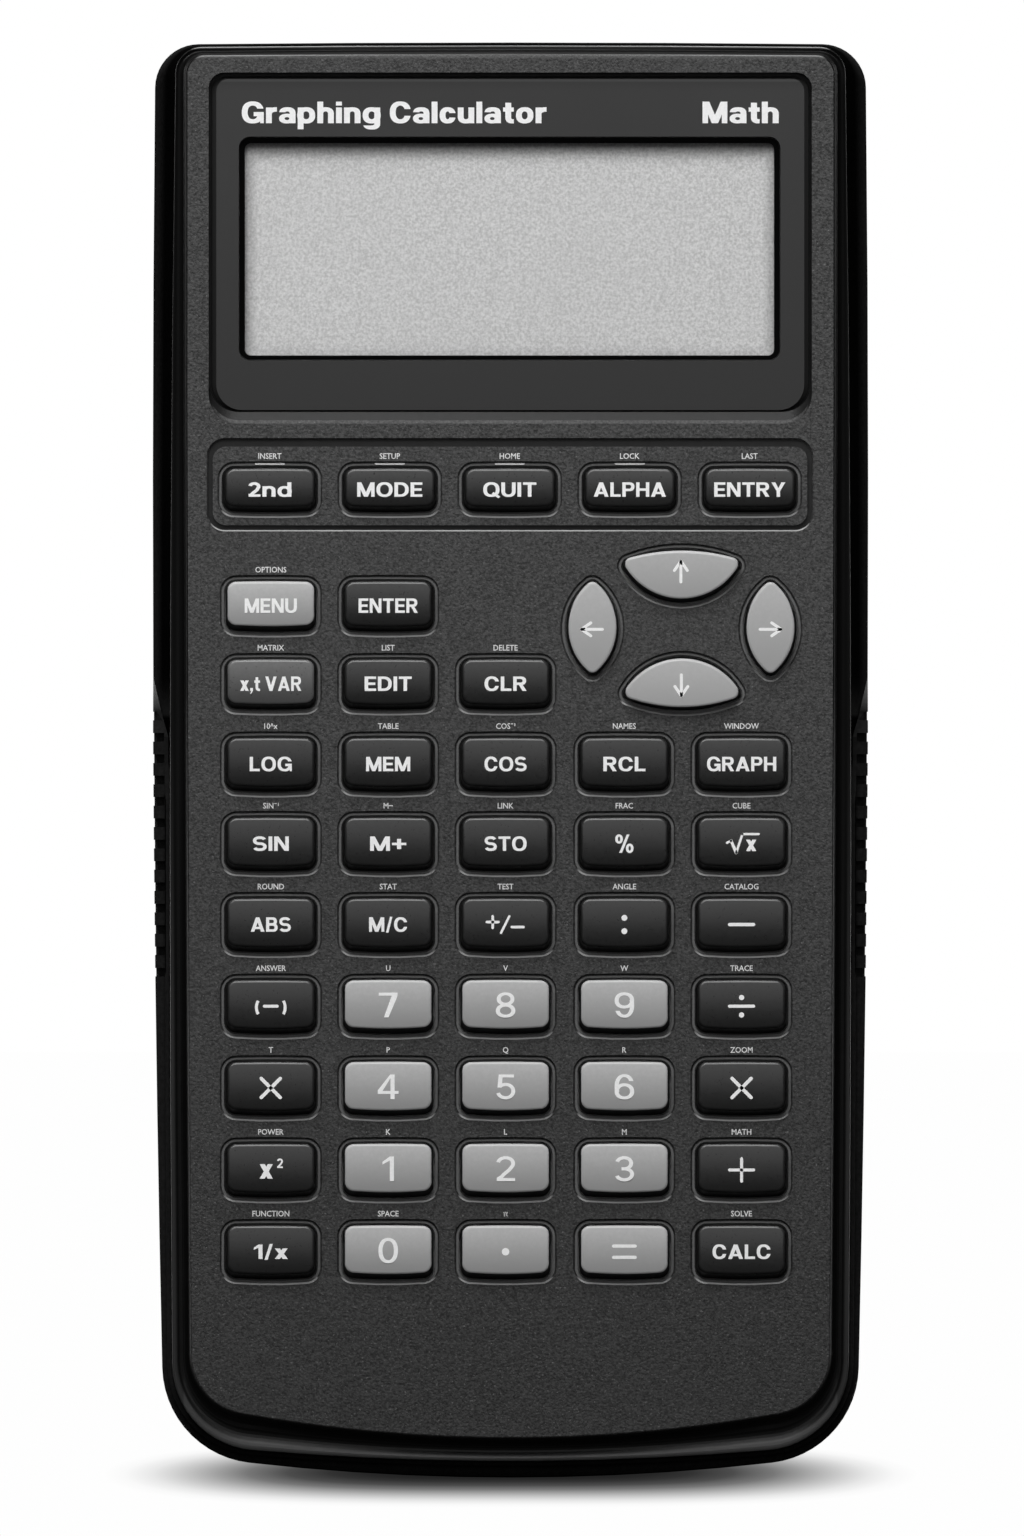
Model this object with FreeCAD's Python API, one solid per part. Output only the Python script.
"""Graphing calculator as an assembly: two case halves, display lens and module, circuit board, rubber
key mat, separate key caps, battery cells, contacts and door, screws and feet.

Everything is drawn lying face up (x across, y towards the display end, z out of the keys) and is
stood up at export: +X to the right of the face, +Z towards the display end, -Y out of the keys.
Origin: middle of the bottom end, half way through the thickness.  Millimetres."""

import FreeCAD
import Part
import math
import os

Vector = FreeCAD.Vector

# ------------------------------------------------------------------ case levels
TOP_Z = 11.5              # key crowns; the feet stand at -TOP_Z
FACE_Z = 9.8              # front face
BACK_Z = -10.7            # back panel
PART_Z = 5.2              # joint between the two case halves
FACE_T = 2.0              # front wall thickness
FACE_INNER_Z = FACE_Z - FACE_T
WALL = 2.2                # rear case wall
CAVITY_INSET = 1.0        # cavity inside OUT_FACE


def case_outline(half_width, widest_y, side_r, top_y, top_r, bottom_y, bottom_r, top_corner,
                 bottom_corner):
    """Sizes of an outline of eight tangent arcs; widest_y is where the sides bulge most."""
    return dict(half_width=half_width, widest_y=widest_y, side_r=side_r, top_y=top_y, top_r=top_r,
                bottom_y=bottom_y, bottom_r=bottom_r, top_corner=top_corner,
                bottom_corner=bottom_corner)


OUT_REAR = case_outline(43.15, 118.0, 4612.0, 173.0, 3600.0, 0.0, 280.0, 5.3, 11.8)
OUT_JOINT = case_outline(41.00, 75.0, 6661.0, 172.45, 3600.0, 2.0, 370.0, 3.2, 10.5)
OUT_FACE = case_outline(39.06, 148.0, 15720.0, 171.43, 3600.0, 4.83, 181.0, 2.3, 7.3)

# ------------------------------------------------------------------ fasteners and feet
MIDDLE_SCREWS = [(-21.75, 71.47), (20.75, 71.47)]
SCREWS = [(-30.0, 13.0), (30.0, 13.0)] + MIDDLE_SCREWS + [(-34.0, 126.7), (34.0, 126.7)]
SCREW_CLEAR_R = 2.75      # hole in board and mat round a boss
HEAD_Z0, HEAD_Z1 = -8.2, -6.6
BOSS_JOINT_Z = 2.0        # top of the rear bosses
FEET = [(-31.5, 25.0), (31.5, 25.0), (-31.5, 161.5), (31.5, 161.5)]
FOOT_R = 4.5

# ------------------------------------------------------------------ battery bay and door
CELL_R = 5.2
CELL_L = 44.4
CELL_PITCH = 10.8
CELL_Z = -3.75
BAY_X = 21.9              # half width inside
BAY_Y0, BAY_Y1 = 98.6, 149.6
BAY_TOP = 1.7             # ceiling, inside
CELL_Y = (BAY_Y0 + BAY_Y1) / 2
# axis x, and the end (+1 or -1 in y) that carries the nipple
CELLS = [((i - 1.5) * CELL_PITCH, 1 if i % 2 == 0 else -1) for i in range(4)]

DOOR_X = 25.0             # half width
DOOR_Y0, DOOR_Y1 = 94.2, 154.0
DOOR_T = 1.5
DOOR_GAP = 0.2
DOOR_IN_Z = BACK_Z + DOOR_T           # inner face of the door
HINGE_Y = DOOR_Y0 + DOOR_T / 2        # axis of the door's round lower edge
HINGE_Z = BACK_Z + DOOR_T / 2
HOOK_XS = (-15.0, 15.0)

# ------------------------------------------------------------------ display and electronics
POCKET_X0, POCKET_X1 = -36.313, 36.252
POCKET_Y0, POCKET_Y1 = 128.301, 169.137   # floor of the display pocket
POCKET_R, POCKET_LOW_R = 1.9, 3.6         # upper and lower corners
LENS_Z = FACE_Z - 1.1                     # outer face of the display lens
POCKET_FLOOR_Z = LENS_Z - 1.9

GLASS_X = 33.6                            # half width
GLASS_Y0, GLASS_Y1 = 133.077, 162.577
BOARD_Z0, BOARD_Z1 = 3.2, 4.4             # main board and display board

JACK_Z = 0.4              # link socket in the bottom end
JACK_R = 1.3
JACK_Y0, JACK_L = 2.5, 11.0
COIN_X, COIN_Y = 24.0, 85.2               # backup coin cell on the main board

# ------------------------------------------------------------------ keys
KEY_GAP = 0.22            # key cap to hole, each side
FLANGE = 0.50             # key flange beyond the hole, each side
FLANGE_Z0, FLANGE_Z1 = FACE_INNER_Z - 1.25, FACE_INNER_Z - 0.15
RING_D = 0.32             # depth of the shallow recess round each key
RING_W = 0.30             # its width beyond the hole
RING_BEVEL = 0.20         # bevel from the recess up to the face
CROWN = 0.22              # crown of an oblong key
KEY_DROP = 0.06           # the oblong keys stand this much lower than the arrow keys
KEY_R = 1.50              # corner radius of an oblong key hole
CROWN_SIDE_INSET = 0.24   # the top of an oblong key lies this far inside its foot
CROWN_CORNER_CUT = 0.20   # and has corners smaller by this
ARROW_TIP_R = 1.05
ARROW_TIP_MIN = 0.35
ARROW_CROWN_TIP_R = 0.95
EDGE_RADII = (0.34, 0.30, 0.26, 0.20, 0.14)   # rolled top edge, largest that works


def pad_key(width, height, bows, skirt, crown_insets):
    """Oblong key.  bows: rise of the upper and lower edge; skirt: extra reach of the lower edge;
    crown_insets: how far the top's upper and lower edges lie inside the plain height."""
    return dict(width=width, height=height, bows=bows, skirt=skirt, crown_insets=crown_insets,
                plunger_y=0.0)


def arrow_key(half_length, rises, upright, length_inset, rise_insets, shift, crown_r, plunger_y):
    """Lens-shaped key.  rises: crown of each arc above the tip line; the insets shrink the top,
    and shift moves it in y; crown_r: radius of the top surface."""
    return dict(half_length=half_length, rises=rises, upright=upright, length_inset=length_inset,
                rise_insets=rise_insets, shift=shift, crown_r=crown_r, plunger_y=plunger_y)


SIDE_ARROW = arrow_key(5.9114, (3.3779, 3.3779), True, 0.32, (0.30, 0.30), 0.14, 90.0, 0.0)
PAD_KEYS = {
    "main": pad_key(11.2919, 6.6593, (0.07, 0.20), 0.34, (0.10, 0.62)),
    "short": pad_key(11.2919, 6.2130, (0.07, 0.16), 0.34, (0.10, 0.62)),
    "top_row": pad_key(11.6056, 5.6218, (0.06, 0.12), 0.22, (0.26, 0.76)),
}
ARROW_KEYS = {
    "up": arrow_key(7.2625, (2.2439, 4.6326), False, 0.28, (0.50, 0.40), 0.22, 60.0, -1.0),
    "down": arrow_key(7.2625, (4.6326, 2.2439), False, 0.28, (0.58, 0.20), 0.22, 60.0, 1.0),
    "left": SIDE_ARROW,
    "right": SIDE_ARROW,
}
KEY_KINDS = {**PAD_KEYS, **ARROW_KEYS}

COLUMNS = [-28.821, -14.706, -0.591, 13.693, 27.783]
TOP_COLUMNS = [-28.9415 + 14.4285 * i for i in range(5)]
# y, kind, column places, names from left to right
KEY_ROWS = [
    (119.072, "top_row", TOP_COLUMNS, ["second", "mode", "quit", "alpha", "entry"]),
    (105.114, "short", COLUMNS, ["menu", "enter"]),
    (95.728, "short", COLUMNS, ["variables", "edit", "clear"]),
    (86.077, "main", COLUMNS, ["log", "memory", "cosine", "recall", "graph"]),
    (76.498, "main", COLUMNS, ["sine", "memory_add", "store", "percent", "root"]),
    (66.774, "main", COLUMNS, ["absolute", "memory_clear", "change_sign", "ratio", "minus"]),
    (56.954, "main", COLUMNS, ["negative", "7", "8", "9", "divide"]),
    (47.122, "main", COLUMNS, ["x", "4", "5", "6", "multiply"]),
    (37.266, "main", COLUMNS, ["square", "1", "2", "3", "plus"]),
    (27.434, "main", COLUMNS, ["reciprocal", "0", "decimal_point", "equals", "calculate"]),
]
# name, x, y, kind
KEYS = [("key_" + name, x, y, kind)
        for y, kind, columns, names in KEY_ROWS for name, x in zip(names, columns)]
KEYS += [
    ("key_arrow_up", 20.569, 109.782, "up"),
    ("key_arrow_down", 20.617, 94.461, "down"),
    ("key_arrow_left", 9.856, 102.279, "left"),
    ("key_arrow_right", 31.258, 102.254, "right"),
]


# ------------------------------------------------------------------ solids
def box(x0, y0, z0, x1, y1, z1):
    """Box between two corners; y0 and y1 may come in either order."""
    low_y, high_y = sorted((y0, y1))
    return Part.makeBox(x1 - x0, high_y - low_y, z1 - z0, Vector(x0, low_y, z0))


def cyl(x, y, z0, z1, radius):
    return Part.makeCylinder(radius, z1 - z0, Vector(x, y, z0))


def cyl_x(y, z, x0, x1, radius):
    return Part.makeCylinder(radius, x1 - x0, Vector(x0, y, z), Vector(1, 0, 0))


def cyl_y(x, z, y0, y1, radius):
    """Cylinder along y; y0 and y1 may come in either order."""
    low_y, high_y = sorted((y0, y1))
    return Part.makeCylinder(radius, high_y - low_y, Vector(x, low_y, z), Vector(0, 1, 0))


def cone(x, y, z0, z1, radius0, radius1):
    return Part.makeCone(radius0, radius1, z1 - z0, Vector(x, y, z0))


def loft(wires):
    return Part.makeLoft(wires, True, True)


def prism(wire, height):
    return Part.Face(wire).extrude(Vector(0, 0, height))


def cross_prism(points, half_width):
    """Closed outline of (y, z) points, extruded across the case."""
    corners = [Vector(-half_width, y, z) for y, z in points]
    face = Part.Face(Part.makePolygon(corners + corners[:1]))
    return face.extrude(Vector(2 * half_width, 0, 0))


def fuse(shapes):
    return shapes[0].multiFuse(shapes[1:])


def cut_all(shape, tools):
    return shape.cut(Part.makeCompound(tools))


def clean(shape):
    """Merge split faces, keeping the shape as it is where merging fails or spoils it."""
    try:
        merged = shape.removeSplitter()
        if merged.isValid() and merged.Volume > 0:
            return merged
    except Exception:
        pass
    return shape


def round_edges(shape):
    return [e for e in shape.Edges if e.Curve.TypeId == "Part::GeomCircle"]


# ------------------------------------------------------------------ outlines
def arc(start, middle, end):
    return Part.Arc(start, middle, end).toShape()


def circle_meet(center1, radius1, center2, radius2, near):
    """Meeting point of two circles nearest to the point near."""
    dx, dy = center2[0] - center1[0], center2[1] - center1[1]
    dist = math.hypot(dx, dy)
    along = (radius1 * radius1 - radius2 * radius2 + dist * dist) / (2 * dist)
    off = math.sqrt(max(radius1 * radius1 - along * along, 0.0))
    foot_x, foot_y = center1[0] + along * dx / dist, center1[1] + along * dy / dist
    meets = [(foot_x + off * dy / dist, foot_y - off * dx / dist),
             (foot_x - off * dy / dist, foot_y + off * dx / dist)]
    return min(meets, key=lambda p: math.hypot(p[0] - near[0], p[1] - near[1]))


def toward(center, radius, target):
    """Point on the circle in the direction of target."""
    scale = radius / math.hypot(target[0] - center[0], target[1] - center[1])
    return (center[0] + (target[0] - center[0]) * scale,
            center[1] + (target[1] - center[1]) * scale)


def outline(sizes, z, grow=0.0):
    """Closed outline of eight tangent arcs at height z, moved outwards by grow."""
    half_width = sizes["half_width"] + grow
    widest_y = sizes["widest_y"]
    side_r = sizes["side_r"] + grow
    top_y, top_r = sizes["top_y"] + grow, sizes["top_r"] + grow
    bottom_y, bottom_r = sizes["bottom_y"] - grow, sizes["bottom_r"] + grow
    top_corner = max(sizes["top_corner"] + grow, 0.4)
    bottom_corner = max(sizes["bottom_corner"] + grow, 0.4)

    def corner(side, end_center, end_r, corner_r, near_y):
        """Corner arc as points: on the side, half way, on the end."""
        side_center = (side * (half_width - side_r), widest_y)
        center = circle_meet(side_center, side_r - corner_r, end_center, end_r - corner_r,
                             (side * (half_width - corner_r), near_y))
        on_side = toward(side_center, side_r, center)
        on_end = toward(end_center, end_r, center)
        chord_middle = ((on_side[0] + on_end[0]) / 2, (on_side[1] + on_end[1]) / 2)
        return [Vector(*p, z) for p in (on_side, toward(center, corner_r, chord_middle), on_end)]

    top = ((0.0, top_y - top_r), top_r, top_corner, top_y - top_corner)
    bottom = ((0.0, bottom_y + bottom_r), bottom_r, bottom_corner, bottom_y + bottom_corner)
    top_right, top_left = corner(1, *top), corner(-1, *top)
    bottom_right, bottom_left = corner(1, *bottom), corner(-1, *bottom)

    # a point on each side arc, kept well between its ends
    low, high = bottom_right[0].y, top_right[0].y
    mid_y = min(max(widest_y, low + 0.25 * (high - low)), high - 0.25 * (high - low))
    mid_x = half_width - side_r + math.sqrt(side_r * side_r - (mid_y - widest_y) ** 2)
    return Part.Wire([
        arc(bottom_right[0], Vector(mid_x, mid_y, z), top_right[0]),
        arc(*top_right),
        arc(top_right[2], Vector(0, top_y, z), top_left[2]),
        arc(*reversed(top_left)),
        arc(top_left[0], Vector(-mid_x, mid_y, z), bottom_left[0]),
        arc(*bottom_left),
        arc(bottom_left[2], Vector(0, bottom_y, z), bottom_right[2]),
        arc(*reversed(bottom_right)),
    ])


def mix(first, second, part):
    """Outline sizes between two outlines; the long radii are blended by curvature."""
    mixed = {}
    for name in first:
        if name in ("side_r", "top_r", "bottom_r"):
            mixed[name] = 1.0 / (1.0 / first[name] * (1 - part) + 1.0 / second[name] * part)
        else:
            mixed[name] = first[name] * (1 - part) + second[name] * part
    return mixed


def rounded_rect(x0, y0, x1, y1, z, upper_r, lower_r=None):
    if lower_r is None:
        lower_r = upper_r

    def corner(x, y, radius, start):
        return [Vector(x + radius * math.cos(a), y + radius * math.sin(a), z)
                for a in (start, start + math.pi / 4, start + math.pi / 2)]

    corners = [corner(x1 - upper_r, y1 - upper_r, upper_r, 0.0),
               corner(x0 + upper_r, y1 - upper_r, upper_r, math.pi / 2),
               corner(x0 + lower_r, y0 + lower_r, lower_r, math.pi),
               corner(x1 - lower_r, y0 + lower_r, lower_r, 3 * math.pi / 2)]
    edges = []
    for i, points in enumerate(corners):
        edges += [Part.makeLine(corners[i - 1][2], points[0]), arc(*points)]
    return Part.Wire(edges)


# ------------------------------------------------------------------ key outlines
def pad_wire(key, z, grow, crown=False):
    """Slightly barrelled rounded rectangle: the key's foot, or its smaller top."""
    half_width, half_height = key["width"] / 2, key["height"] / 2
    upper_bow, lower_bow = key["bows"]
    reach = half_width - 0.9
    if crown:
        upper_inset, lower_inset = key["crown_insets"]
        side_inset, corner_r = CROWN_SIDE_INSET, KEY_R - CROWN_CORNER_CUT
    else:
        upper_inset, lower_inset = 0.0, -key["skirt"]
        side_inset, corner_r = 0.0, KEY_R
    sizes = case_outline(half_width - side_inset, 0.0, 1500.0,
                         half_height - upper_inset, reach * reach / (2 * upper_bow),
                         lower_inset - half_height, reach * reach / (2 * lower_bow),
                         corner_r, corner_r)
    return outline(sizes, z, grow)


def lens_wire(half_length, rises, tip_r, z, upright):
    """Two arcs with the given rises from the tip line, meeting in tips rounded with tip_r."""
    tip_x = half_length - tip_r

    def touch(rise, sign):
        """Point where the long arc meets the tip circle."""
        radius = (tip_x * tip_x + rise * rise - tip_r * tip_r) / (2 * (rise - tip_r))
        return toward((0.0, sign * (rise - radius)), radius, (tip_x, 0.0))

    def point(x, y):
        return Vector(-y, x, z) if upright else Vector(x, y, z)

    up_x, up_y = touch(rises[0], 1)
    low_x, low_y = touch(rises[1], -1)
    return Part.Wire([
        arc(point(up_x, up_y), point(0, rises[0]), point(-up_x, up_y)),
        arc(point(-up_x, up_y), point(-half_length, 0), point(-low_x, low_y)),
        arc(point(-low_x, low_y), point(0, -rises[1]), point(low_x, low_y)),
        arc(point(low_x, low_y), point(half_length, 0), point(up_x, up_y)),
    ])


def arrow_crown_wire(key, z, grow):
    rises = [rise + grow - inset for rise, inset in zip(key["rises"], key["rise_insets"])]
    wire = lens_wire(key["half_length"] + grow - key["length_inset"], rises,
                     ARROW_CROWN_TIP_R, z, key["upright"])
    wire.translate(Vector(0, key["shift"], 0))
    return wire


def key_hole(kind, x, y, z, grow=0.0):
    key = KEY_KINDS[kind]
    if kind in PAD_KEYS:
        wire = pad_wire(key, z, grow)
    else:
        wire = lens_wire(key["half_length"] + grow, [rise + grow for rise in key["rises"]],
                         max(ARROW_TIP_R + grow, ARROW_TIP_MIN), z, key["upright"])
    wire.translate(Vector(x, y, 0))
    return wire


# ------------------------------------------------------------------ key caps
def roll_top_edge(shape, crown_r):
    """Fillet the edge round the cylindrical top face of radius crown_r."""
    edges = []
    for face in shape.Faces:
        surface = face.Surface
        if surface.TypeId == "Part::GeomCylinder" and abs(surface.Radius - crown_r) < 1e-6:
            edges = face.OuterWire.Edges
    for radius in EDGE_RADII:
        # a radius too large for the small corners fails; the next smaller one is tried
        try:
            rolled = shape.makeFillet(radius, edges)
            if rolled.isValid() and rolled.Volume > 0:
                return rolled
        except Exception:
            pass
    return shape


def make_cap(kind):
    """One key cap at the origin: flange, drafted body, crowned top with a rolled edge, hollow."""
    key = KEY_KINDS[kind]
    shrink = -KEY_GAP
    draft_z = FACE_Z - 0.25           # the draft starts here
    loft_top_z = TOP_Z + 0.5
    body = prism(key_hole(kind, 0, 0, FLANGE_Z0, shrink), draft_z - FLANGE_Z0)
    if kind in PAD_KEYS:
        top = pad_wire(key, loft_top_z, shrink, crown=True)
        half_height = key["height"] / 2 + shrink
        crown_r = half_height * half_height / (2 * CROWN)
        axis_y, axis_z = 0.25, TOP_Z - KEY_DROP - crown_r
    else:
        top = arrow_crown_wire(key, loft_top_z, shrink)
        crown_r = key["crown_r"]
        axis_y, axis_z = 0.0, TOP_Z - crown_r
    upper = loft([key_hole(kind, 0, 0, draft_z, shrink), top])
    barrel = cyl_x(axis_y, axis_z, -12, 12, crown_r)
    # turn the cylinder's seam away from the key top
    barrel.rotate(Vector(0, axis_y, axis_z), Vector(1, 0, 0), 90)
    upper = roll_top_edge(upper.common(barrel), crown_r)
    flange = prism(key_hole(kind, 0, 0, FLANGE_Z0, FLANGE), FLANGE_Z1 - FLANGE_Z0)
    cap = fuse([body, upper, flange])
    cap = cap.cut(prism(key_hole(kind, 0, 0, FLANGE_Z0 - 0.1, -1.15), FACE_Z - FLANGE_Z0))
    plunger = cyl(0, key["plunger_y"], FLANGE_Z0 - 0.25, FACE_Z + 0.2, 1.35)
    return clean(cap.fuse(plunger))


# ------------------------------------------------------------------ front case half
LIP_Z = 7.10
# cove round the face: blend from the joint outline (0) to the face outline (1), height
COVE = [
    (0.08, LIP_Z), (0.14, 7.10), (0.22, 7.02), (0.30, 6.90), (0.38, 6.80), (0.46, 6.76),
    (0.55, 6.80), (0.64, 6.94), (0.73, 7.20), (0.81, 7.56), (0.88, 8.02), (0.94, 8.60),
    (0.98, 9.10),
]
# display pocket: lower edge y and height, downwards; the last two form the ramp
POCKET_RAMP = [(126.781, FACE_Z + 1.0), (126.853, FACE_Z), (126.974, FACE_Z - 0.12),
               (POCKET_Y0, LENS_Z)]
SIDE_LINE_XS = (-36.204, 36.156)
SIDE_LINE_Y0, SIDE_LINE_Y1 = 124.923, 128.783
SIDE_LINE_HALF = 0.09
# groove round the top key panel: x0, y0, x1, y1 of its outer and inner edge
GROOVE_OUTER = (-36.397, 114.089, 36.276, 125.019)
GROOVE_INNER = (-35.818, 114.668, 35.697, 124.126)
GROOVE_R = 2.05
GROOVE_BEVEL = 0.16


def front_shell():
    shell = loft(
        [outline(OUT_JOINT, PART_Z, -0.18), outline(OUT_JOINT, PART_Z + 0.18),
         outline(OUT_JOINT, LIP_Z - 0.22), outline(mix(OUT_JOINT, OUT_FACE, 0.03), LIP_Z - 0.06)]
        + [outline(mix(OUT_JOINT, OUT_FACE, part), z) for part, z in COVE]
        + [outline(OUT_FACE, 9.5), outline(OUT_FACE, 9.72, -0.05),
           outline(OUT_FACE, FACE_Z, -0.20)])
    return shell.cut(prism(outline(OUT_FACE, PART_Z - 1, -CAVITY_INSET),
                           FACE_INNER_Z - PART_Z + 1))


def display_pocket_cuts():
    """Pocket straight on three sides, with a ramp at its lower edge."""
    def section(low_y, z):
        return rounded_rect(POCKET_X0, low_y, POCKET_X1, POCKET_Y1, z, POCKET_R, POCKET_LOW_R)

    return [loft([section(low_y, z) for low_y, z in POCKET_RAMP]),
            prism(section(POCKET_Y0, POCKET_FLOOR_Z), LENS_Z - POCKET_FLOOR_Z)]


def panel_groove():
    x0, y0, x1, y1 = GROOVE_OUTER
    bevel = GROOVE_BEVEL
    outer = loft([rounded_rect(x0, y0, x1, y1, FACE_Z - 0.55, GROOVE_R),
                  rounded_rect(x0, y0, x1, y1, FACE_Z - bevel, GROOVE_R),
                  rounded_rect(x0 - bevel, y0 - bevel, x1 + bevel, y1 + bevel, FACE_Z + 0.01,
                               GROOVE_R + bevel)])
    return outer.cut(prism(rounded_rect(*GROOVE_INNER, FACE_Z - 0.65, 1.6), 2.2))


def key_cuts(x, y, kind):
    """Bevelled recess round a key, and the hole through the face."""
    recess = loft([key_hole(kind, x, y, FACE_Z - RING_D, RING_W),
                   key_hole(kind, x, y, FACE_Z - RING_BEVEL, RING_W),
                   key_hole(kind, x, y, FACE_Z + 0.02, RING_W + RING_BEVEL + 0.02)])
    return [recess, prism(key_hole(kind, x, y, FACE_INNER_Z - 1.0), FACE_T + 2.0)]


def make_front():
    cuts = display_pocket_cuts()
    for x in SIDE_LINE_XS:
        cuts.append(box(x - SIDE_LINE_HALF, SIDE_LINE_Y0, FACE_Z - 0.16,
                        x + SIDE_LINE_HALF, SIDE_LINE_Y1, FACE_Z + 1))
    cuts.append(panel_groove())
    for _, x, y, kind in KEYS:
        cuts += key_cuts(x, y, kind)

    # thickening that carries the pocket floor
    pedestal_z = POCKET_FLOOR_Z - 1.1
    pedestal = prism(rounded_rect(POCKET_X0 - 1.2, POCKET_Y0 - 1.6, POCKET_X1 + 1.2,
                                  POCKET_Y1 + 0.9, pedestal_z, POCKET_R, POCKET_LOW_R),
                     FACE_INNER_Z + 0.3 - pedestal_z)
    bosses = [cyl(x, y, BOSS_JOINT_Z + 0.1, FACE_INNER_Z + 0.2,
                  1.95 if (x, y) in MIDDLE_SCREWS else 2.3) for x, y in SCREWS]
    front = fuse([front_shell(), pedestal] + bosses)

    cuts += [cyl(x, y, 2.0, 7.5, 1.05) for x, y in SCREWS]
    # opening for the display glass
    cuts.append(prism(rounded_rect(-GLASS_X - 0.6, GLASS_Y0 - 0.5, GLASS_X + 0.6, GLASS_Y1 + 0.5,
                                   POCKET_FLOOR_Z - 3, 0.6), 4.5))
    return clean(cut_all(front, cuts))


# ------------------------------------------------------------------ rear case half
LEDGE_Z = 4.3                             # top of the ledge round the lower half
LEDGE_RAMP_Y0, LEDGE_RAMP_Y1 = 89.213, 96.572
RIM_END_Y = 86.439
RIM_GAP = 0.09                            # rim to joint outline
GRIP_Y0, GRIP_Y1 = 60.863, 91.747
GRIP_COUNT = 12                           # pitches between the first and last slot
GRIP_HALF = 0.52                          # half width of a slot


def rear_shell():
    flared = loft([
        outline(OUT_REAR, BACK_Z, -2.3), outline(OUT_REAR, BACK_Z + 0.22, -1.45),
        outline(OUT_REAR, BACK_Z + 0.75, -0.75), outline(OUT_REAR, BACK_Z + 1.5, -0.28),
        outline(OUT_REAR, BACK_Z + 2.6), outline(OUT_REAR, -2.2),
        outline(mix(OUT_REAR, OUT_JOINT, 0.5), 1.6), outline(OUT_JOINT, PART_Z - 0.18),
        outline(OUT_JOINT, PART_Z, -0.18)])
    # the lower half carries a raised ledge whose upper end ramps back
    ledge = loft([outline(OUT_REAR, -2.2), outline(OUT_REAR, LEDGE_Z - 0.75),
                  outline(OUT_REAR, LEDGE_Z - 0.22, -0.16), outline(OUT_REAR, LEDGE_Z, -0.6)])
    ledge = ledge.common(cross_prism(
        [(-20, -3), (-20, 9), (LEDGE_RAMP_Y0, 9), (LEDGE_RAMP_Y0, LEDGE_Z),
         (LEDGE_RAMP_Y1, -2.3), (LEDGE_RAMP_Y1, -3)], 60))
    shell = fuse([flared, ledge, joint_rim()])
    shell = shell.cut(loft([
        outline(OUT_REAR, BACK_Z + 2.0, -WALL), outline(OUT_REAR, -2.2, -WALL),
        outline(OUT_FACE, PART_Z - 0.9, -CAVITY_INSET),
        outline(OUT_FACE, PART_Z + 2.0, -CAVITY_INSET)]))
    # room for the front half
    return shell.cut(prism(outline(OUT_JOINT, PART_Z, 0.05), 3.0))


def joint_rim():
    """Thin rim outside the joint on the lower half, sloping down at its upper end."""
    rim = loft([outline(OUT_JOINT, 3.0, 0.62), outline(OUT_JOINT, LEDGE_Z + 0.95, 0.62),
                outline(OUT_JOINT, LEDGE_Z + 1.25, 0.50),
                outline(OUT_JOINT, LEDGE_Z + 1.38, 0.30),
                outline(OUT_JOINT, LEDGE_Z + 1.38, RIM_GAP)])
    rim = rim.cut(prism(outline(OUT_JOINT, 2.0, RIM_GAP), 6.0))
    slope = cross_prism([(RIM_END_Y + 1, 4.0), (RIM_END_Y - 6, LEDGE_Z + 1.6),
                         (RIM_END_Y + 1, LEDGE_Z + 1.6)], 61)
    return rim.common(box(-60, -20, -12, 60, RIM_END_Y, 12).cut(slope))


def bay_cuts():
    """Battery bay with the seat, hook pockets and latch slot of its door."""
    seat_x = DOOR_X + DOOR_GAP
    cuts = [
        box(-BAY_X, BAY_Y0, BACK_Z - 1, BAY_X, BAY_Y1, BAY_TOP),
        box(-seat_x, HINGE_Y, BACK_Z - 1, seat_x, DOOR_Y1 + DOOR_GAP, DOOR_IN_Z + 0.1),
        # rounded lower seat so the door's round edge can turn in it
        cyl_x(HINGE_Y, HINGE_Z, -seat_x, seat_x, DOOR_T / 2 + 0.12),
        box(-seat_x, DOOR_Y0 - 0.12, BACK_Z - 1, seat_x, DOOR_Y0 + 2, HINGE_Z),
    ]
    for x in HOOK_XS:
        cuts.append(box(x - 3.6, DOOR_Y0 - 2.6, HINGE_Z + 0.95, x + 3.6, BAY_Y0 + 0.5,
                        BACK_Z + 4.3))
        cuts.append(box(x - 3.6, HINGE_Y - 0.35, HINGE_Z, x + 3.6, BAY_Y0 + 0.5, BACK_Z + 4.3))
    cuts.append(box(-5.3, DOOR_Y1 - 2.2, BACK_Z - 1, 5.3, DOOR_Y1 - 0.3, BACK_Z + 4.2))
    return cuts


def grip_slots():
    """Slots across both side walls, open to the outside."""
    slots = []
    pitch = (GRIP_Y1 - GRIP_Y0) / GRIP_COUNT
    for side in (-1, 1):
        for i in range(GRIP_COUNT + 1):
            y = GRIP_Y0 + pitch * i
            bulge_drop = (y - OUT_REAR["widest_y"]) ** 2 / (2 * OUT_REAR["side_r"])
            wall_x = OUT_REAR["half_width"] - bulge_drop
            # offset from the wall, height
            section = [(-1.35, LEDGE_Z + 0.6), (-1.35, LEDGE_Z - 1.5), (-0.42, LEDGE_Z - 2.8),
                       (-0.42, -7.4), (1.0, -8.2), (1.0, LEDGE_Z + 0.6)]
            corners = [Vector(side * (wall_x + dx), y - GRIP_HALF, z) for dx, z in section]
            face = Part.Face(Part.makePolygon(corners + corners[:1]))
            slots.append(face.extrude(Vector(0, 2 * GRIP_HALF, 0)))
    return slots


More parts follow.
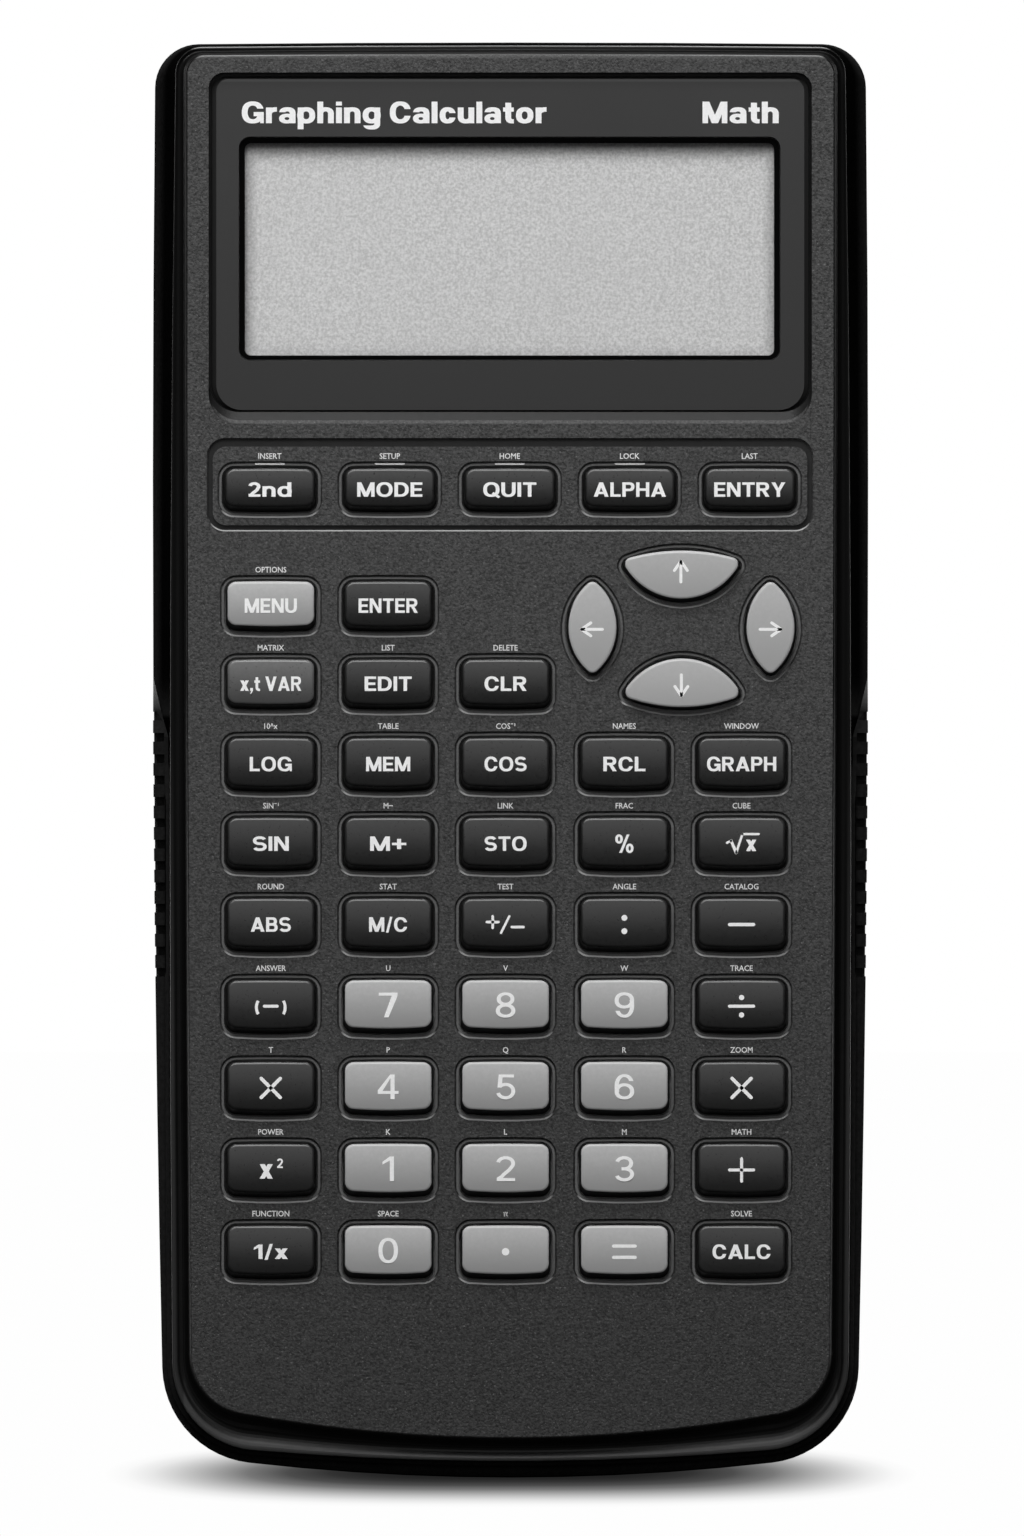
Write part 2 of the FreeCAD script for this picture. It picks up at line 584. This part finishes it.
def make_rear():
    adds = [
        # tub of the battery bay
        box(-BAY_X - 1.2, BAY_Y0 - 1.2, BACK_Z + 1.0, BAY_X + 1.2, BAY_Y1 + 1.2, BAY_TOP + 1.2),
        # frame round the door seat
        box(-DOOR_X - 2.2, DOOR_Y0 - 4.2, BACK_Z + 0.8, DOOR_X + 2.2, DOOR_Y1 + 2.2,
            BACK_Z + 5.4),
    ]
    adds += [cyl(x, y, BACK_Z + 1.0, BOSS_JOINT_Z, 3.6) for x, y in SCREWS]
    # ribs standing on the back wall
    for y in (40.0, 56.0, 86.0):
        adds.append(box(-38.0, y - 0.5, BACK_Z + 1.0, 38.0, y + 0.5, BACK_Z + 3.6))

    cuts = bay_cuts()
    # pocket for the link socket's body
    cuts.append(box(-4.15, JACK_Y0 - 0.05, JACK_Z - 3.15, 4.15, 16.0, PART_Z + 1))
    # finger scoop above the latch
    cuts.append(Part.makeSphere(9.0, Vector(0, DOOR_Y1 + 3.4, BACK_Z - 7.6)))
    for x, y in SCREWS:
        cuts.append(cyl(x, y, BACK_Z - 1, HEAD_Z1, 2.7))
        cuts.append(cyl(x, y, HEAD_Z1 - 0.1, 3.0, 1.45))
    cuts += [cyl(x, y, BACK_Z - 1, BACK_Z + 0.55, FOOT_R + 0.1) for x, y in FEET]
    # shallow field for a rating plate
    cuts.append(prism(rounded_rect(-25, 32.0, 25, 58.0, BACK_Z - 0.5, 2.0), 0.72))
    # link socket opening
    cuts.append(cyl_y(0, JACK_Z, -1, JACK_Y0 - 0.05, 3.1))
    cuts += grip_slots()
    return clean(cut_all(fuse([rear_shell()] + adds), cuts))


# ------------------------------------------------------------------ display
LENS_X0, LENS_Y0, LENS_X1, LENS_Y1 = -35.890, 128.421, 35.842, 168.691
LENS_BEVEL = 0.5          # bevel along the sides
# window recess: x0, y0, x1, y1 at its floor and at the lens face
WINDOW_FLOOR = (-32.561, 134.622, 32.344, 161.284)
WINDOW_RIM = (-32.706, 134.477, 32.488, 161.453)


def make_lens():
    body = loft([
        rounded_rect(LENS_X0, LENS_Y0, LENS_X1, LENS_Y1, LENS_Z - 1.88, 1.8, 3.4),
        rounded_rect(LENS_X0, LENS_Y0, LENS_X1, LENS_Y1, LENS_Z - 0.42, 1.8, 3.4),
        rounded_rect(LENS_X0 + LENS_BEVEL, LENS_Y0 + 0.12, LENS_X1 - LENS_BEVEL, LENS_Y1 - 0.32,
                     LENS_Z, 1.5, 3.1)])
    window = loft([rounded_rect(*WINDOW_FLOOR, LENS_Z - 1.15, 1.2),
                   rounded_rect(*WINDOW_RIM, LENS_Z + 0.02, 1.4)])
    return body.cut(window)


def make_lcd():
    glass_low = box(-GLASS_X, GLASS_Y0, BOARD_Z1, GLASS_X, GLASS_Y1, 6.0)
    glass_high = box(-GLASS_X, GLASS_Y0 + 1.4, 6.0, GLASS_X, GLASS_Y1 - 0.2, 6.62)
    glass = clean(glass_low.fuse(glass_high))
    board = box(-36.6, 129.6, BOARD_Z0, 36.6, 168.2, BOARD_Z1)
    for x in (-34.6, 34.6):
        for y in (131.6, 166.2):
            board = board.cut(cyl(x, y, 3.0, 4.6, 0.9))
    # notches in the two lower corners
    for x in (-37.2, 32.0):
        board = board.cut(box(x, 128.8, 3.0, x + 5.2, 130.2, 4.6))
    # the ribbon stands clear of the glass
    ribbon = box(-20, 122.6, BOARD_Z1, 20, 130.9, 4.55)
    chips = [box(-20 + i * 15, 155, 2.9, -12 + i * 15, 160, BOARD_Z0) for i in range(3)]
    return Part.makeCompound([glass, board, ribbon] + chips)


# ------------------------------------------------------------------ circuit board and key mat
# centre x, centre y, width, height
CHIPS = [(-14.0, 60.0, 14.0, 14.0), (9.0, 62.0, 18.0, 11.0), (9.0, 46.0, 18.0, 11.0),
         (-14.0, 39.0, 10.0, 8.0)]
LEAD_PITCH = 1.25
# x, y, radius, height of the round components
CANS = [(-28, 36, 2.0, 4.6), (-28, 44, 2.0, 4.6), (27.5, 36, 2.5, 5.0)]


def make_chip(x, y, width, height):
    left, right, low = x - width / 2, x + width / 2, y - height / 2
    parts = [box(left, low, 1.5, right, y + height / 2, 3.1)]
    count = int(height / LEAD_PITCH)
    for i in range(count):
        lead_y = low + (i + 0.5) * height / count
        for x0, x1 in ((left - 1.1, left + 0.2), (right - 0.2, right + 1.1)):
            parts.append(box(x0, lead_y - 0.2, 2.9, x1, lead_y + 0.2, BOARD_Z0))
    return clean(fuse(parts))


def make_board():
    board = box(-36.4, 7.2, BOARD_Z0, 36.4, 127.4, BOARD_Z1)
    board = board.common(prism(outline(OUT_FACE, 3.0, -1.8), 2.0))
    for x, y in SCREWS:
        board = board.cut(cyl(x, y, 3.0, 4.6, SCREW_CLEAR_R))
    crystal = box(23.0, 58.0, 0.7, 31.0, 61.2, BOARD_Z0)
    # link socket: moulded body with a blind bore
    socket = box(-4.0, JACK_Y0, JACK_Z - 3.0, 4.0, JACK_Y0 + 13.0, BOARD_Z0)
    socket = socket.cut(cyl_y(0, JACK_Z, JACK_Y0 - 1, JACK_Y0 + JACK_L, JACK_R))
    # coin-cell holder, open on one side
    holder = cyl(COIN_X, COIN_Y, 1.2, BOARD_Z0, 9.2)
    holder = holder.cut(cyl(COIN_X, COIN_Y, 1.0, 2.7, 8.2))
    holder = holder.cut(box(20, COIN_Y - 10, 1.0, 28, COIN_Y - 6, 2.7))
    return Part.makeCompound(
        [board] + [make_chip(*chip) for chip in CHIPS]
        + [cyl(x, y, BOARD_Z0 - height, BOARD_Z0, radius) for x, y, radius, height in CANS]
        + [crystal, socket, holder])


def make_mat():
    """Sheet on the board with one dome under each key's plunger."""
    sheet = box(-35.9, 20.0, BOARD_Z1, 35.9, 122.2, 5.15)
    domes = [cone(x, y + KEY_KINDS[kind]["plunger_y"], 5.1, FLANGE_Z0 - 0.30, 2.35, 1.6)
             for _, x, y, kind in KEYS]
    holes = [cyl(x, y, 4.0, 6.0, SCREW_CLEAR_R) for x, y in MIDDLE_SCREWS]
    return clean(cut_all(fuse([sheet] + domes), holes))


# ------------------------------------------------------------------ power
COIL_STEPS = 3            # spacings between the coils of a spring


def make_cell(x, end):
    """Cylindrical cell with its nipple at the given end."""
    cell = cyl_y(x, CELL_Z, CELL_Y - CELL_L / 2, CELL_Y + CELL_L / 2, CELL_R)
    cell = cell.makeFillet(0.5, round_edges(cell))
    tip = CELL_Y + end * CELL_L / 2
    cell = cell.cut(box(x - 6, tip - end * 0.9, CELL_Z - 6, x + 6, tip + end, CELL_Z + 6))
    cell = cell.fuse(cyl_y(x, CELL_Z, tip - end * 1.0, tip, 1.9))
    cell = cell.fuse(cyl_y(x, CELL_Z, tip - end * 1.2, tip - end * 0.9, 4.7))
    return clean(cell)


def make_cells():
    coin = cyl(COIN_X, COIN_Y, 1.05, 2.65, 8.0)
    coin = coin.makeFillet(0.25, round_edges(coin))
    return Part.makeCompound([make_cell(x, end) for x, end in CELLS] + [coin])


def make_contact(x, end, at_nipple):
    """Plate on an end wall with a button for a nipple or a coil spring for a cell's base."""
    wall = BAY_Y1 if end > 0 else BAY_Y0
    plate_y = wall - end * 0.45
    root = plate_y + end * 0.1        # button and spring are rooted in the plate
    cell_face = CELL_Y + end * CELL_L / 2
    contact = box(x - 4.2, plate_y, CELL_Z - 4.2, x + 4.2, wall - end * 0.05, CELL_Z + 4.2)
    if at_nipple:
        return clean(contact.fuse(cyl_y(x, CELL_Z, cell_face + end * 0.03, root, 1.7)))
    tip = cell_face + end * 0.05
    coil_span = abs(root - tip) - 0.56
    # coils counted from the cell, fused in the order of rising y
    for coil in range(COIL_STEPS + 1)[::end]:
        coil_y = tip + end * (0.28 + coil_span * coil / COIL_STEPS)
        coil_r = 3.5 - 0.45 * (COIL_STEPS - coil)
        contact = contact.fuse(Part.makeTorus(coil_r, 0.27, Vector(x, coil_y, CELL_Z),
                                              Vector(0, 1, 0)))
    # straight wires that tie the coils together
    for dx in (2.6, -2.6):
        contact = contact.fuse(cyl_y(x + dx, CELL_Z, tip + end * 0.2, root, 0.55))
    return clean(contact)


def make_contacts():
    return Part.makeCompound([make_contact(x, end, end == nipple_end)
                              for x, nipple_end in CELLS for end in (1, -1)])


def door_slab():
    slab = box(-DOOR_X, HINGE_Y, BACK_Z, DOOR_X, DOOR_Y1, DOOR_IN_Z)
    upper_corners = [e for e in slab.Edges
                     if e.BoundBox.ZMax - e.BoundBox.ZMin > DOOR_T - 0.01
                     and e.BoundBox.YMin > DOOR_Y1 - 0.01]
    slab = slab.makeFillet(1.6, upper_corners)
    outside = [e for e in slab.Edges
               if abs(e.BoundBox.ZMin - BACK_Z) < 1e-6 and abs(e.BoundBox.ZMax - BACK_Z) < 1e-6
               and e.BoundBox.YMax > HINGE_Y + 0.01]
    # softening is optional: the slab stays sharp if this fillet fails
    try:
        softened = slab.makeFillet(0.3, outside)
        if softened.isValid():
            return softened
    except Exception:
        pass
    return slab


def make_door():
    parts = [door_slab(), cyl_x(HINGE_Y, HINGE_Z, -DOOR_X, DOOR_X, DOOR_T / 2)]
    # hooks that reach under the case at the lower edge
    hook_z = DOOR_IN_Z + 1.7
    for x in HOOK_XS:
        parts.append(box(x - 3.0, HINGE_Y - 0.2, DOOR_IN_Z - 0.4, x + 3.0, HINGE_Y + 2.0, hook_z))
        parts.append(box(x - 3.0, HINGE_Y - 2.3, DOOR_IN_Z + 0.65, x + 3.0, HINGE_Y + 2.0,
                         hook_z))
    # stiffening ribs on the inside, between the cells
    for x in (-CELL_PITCH, 0.0, CELL_PITCH):
        parts.append(box(x - 0.35, BAY_Y0 + 2.5, DOOR_IN_Z - 0.2, x + 0.35, BAY_Y1 - 2.5,
                         DOOR_IN_Z + 1.1))
    # latch tongue
    parts.append(box(-5.0, DOOR_Y1 - 1.9, DOOR_IN_Z - 0.4, 5.0, DOOR_Y1 - 0.7, DOOR_IN_Z + 2.2))

    cuts = []
    # finger grooves, shorter away from the latch
    for i in range(6):
        y = DOOR_Y1 - 8.2 - i * 1.7
        half = 7.5 - 0.6 * i
        cuts.append(prism(rounded_rect(-half, y - 0.4, half, y + 0.4, BACK_Z - 0.5, 0.38), 0.95))
    # slots that free the latch
    for x in (-6.2, 6.2):
        cuts.append(box(x - 0.4, DOOR_Y1 - 6.0, BACK_Z - 1, x + 0.4, DOOR_Y1 + 1, DOOR_IN_Z + 3))
    return clean(cut_all(fuse(parts), cuts))


# ------------------------------------------------------------------ screws and feet
SHANK_R, THREAD_R = 0.85, 1.02


def make_screw(x, y):
    head = cyl(x, y, HEAD_Z0, HEAD_Z1, 2.3)
    head = head.makeFillet(0.5, [e for e in round_edges(head)
                                 if e.BoundBox.ZMax < HEAD_Z0 + 0.1])
    parts = [head, cyl(x, y, HEAD_Z1 - 0.1, 6.4, SHANK_R)]
    # thread shown as a stack of short double cones
    for i in range(7):
        z = 2.2 + 0.62 * i
        parts.append(cone(x, y, z, z + 0.25, SHANK_R, THREAD_R))
        parts.append(cone(x, y, z + 0.25, z + 0.5, THREAD_R, SHANK_R))
    parts.append(cone(x, y, 6.39, 7.2, SHANK_R, 0.2))
    screw = fuse(parts)
    # cross slot
    for half_x, half_y in ((1.45, 0.27), (0.27, 1.45)):
        screw = screw.cut(box(x - half_x, y - half_y, -9, x + half_x, y + half_y, -7.4))
    return clean(screw)


def make_foot(x, y):
    foot = cyl(x, y, -TOP_Z, BACK_Z + 0.5, FOOT_R)
    return foot.makeFillet(0.45, [e for e in round_edges(foot)
                                  if e.BoundBox.ZMax < -TOP_Z + 0.01])


# ------------------------------------------------------------------ export
def write(name, shape):
    """Stand the shape up and export its solids."""
    solids = shape.Solids
    standing = (solids[0] if len(solids) == 1 else Part.makeCompound(solids)).copy()
    standing.rotate(Vector(0, 0, 0), Vector(1, 0, 0), 90)
    standing.exportStep(os.path.join("parts", name + ".step"))


def main():
    os.makedirs("parts", exist_ok=True)
    write("front_housing", make_front())
    write("rear_housing", make_rear())
    write("display_lens", make_lens())
    write("lcd_module", make_lcd())
    write("circuit_board", make_board())
    write("keypad_mat", make_mat())
    write("battery_cells", make_cells())
    write("battery_contacts", make_contacts())
    write("battery_door", make_door())
    write("housing_screws", Part.makeCompound([make_screw(x, y) for x, y in SCREWS]))
    write("rubber_feet", Part.makeCompound([make_foot(x, y) for x, y in FEET]))
    caps = {kind: make_cap(kind) for kind in KEY_KINDS}
    for name, x, y, kind in KEYS:
        cap = caps[kind].copy()
        cap.translate(Vector(x, y, 0))
        write(name, cap)


main()
